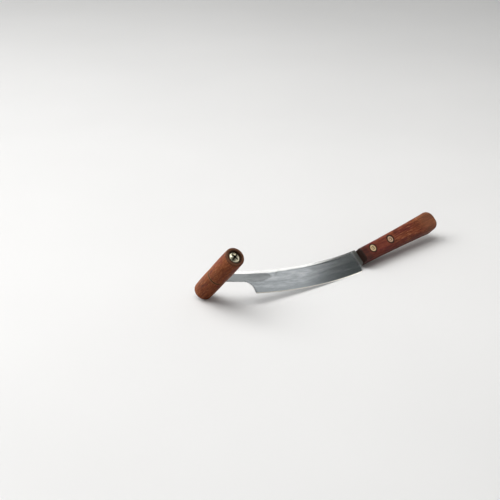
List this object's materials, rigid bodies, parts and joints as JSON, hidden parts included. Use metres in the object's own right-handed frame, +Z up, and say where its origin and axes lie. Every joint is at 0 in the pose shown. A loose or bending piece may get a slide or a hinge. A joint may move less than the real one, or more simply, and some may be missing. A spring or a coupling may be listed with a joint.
{
  "type": "two-handled cheese knife",
  "caption": "Curved two-handled cheese knife lying on its side: convex-edged steel blade, riveted wooden rear handle and a turned wooden cross grip at the front that turns about its screw.",
  "frame": {"origin": "on the floor, under the middle of the box of the knife as it lies on its side", "axes": "+X runs along the knife from the cross grip to the rear handle, +Z is up from the floor"},
  "size_m": [0.348, 0.0766, 0.0801],
  "materials": {
    "blade_steel": "satin ground",
    "handle_wood": "oiled, worn satin",
    "grip_wood": "oiled, worn satin",
    "rivet_brass": "worn satin",
    "screw_steel": "worn satin"
  },
  "bodies": {
    "knife": {"blade": "blade_steel", "rear_handle": "handle_wood", "front_rivet_socket": "rivet_brass", "front_rivet_post": "rivet_brass", "rear_rivet_socket": "rivet_brass", "rear_rivet_post": "rivet_brass"},
    "front_grip": {"upper_grip_barrel": "grip_wood", "lower_grip_barrel": "grip_wood", "grip_screw": "screw_steel", "screw_washer": "screw_steel", "grip_insert": "rivet_brass"}
  },
  "joints": [
    {"name": "front_grip_turn", "type": "hinge", "parent": "knife", "child": "front_grip", "pos_m": [-0.15994, 0.00193, 0.03802], "axis": [0.0689, -0.6795, 0.7305], "continuous": true}
  ]
}
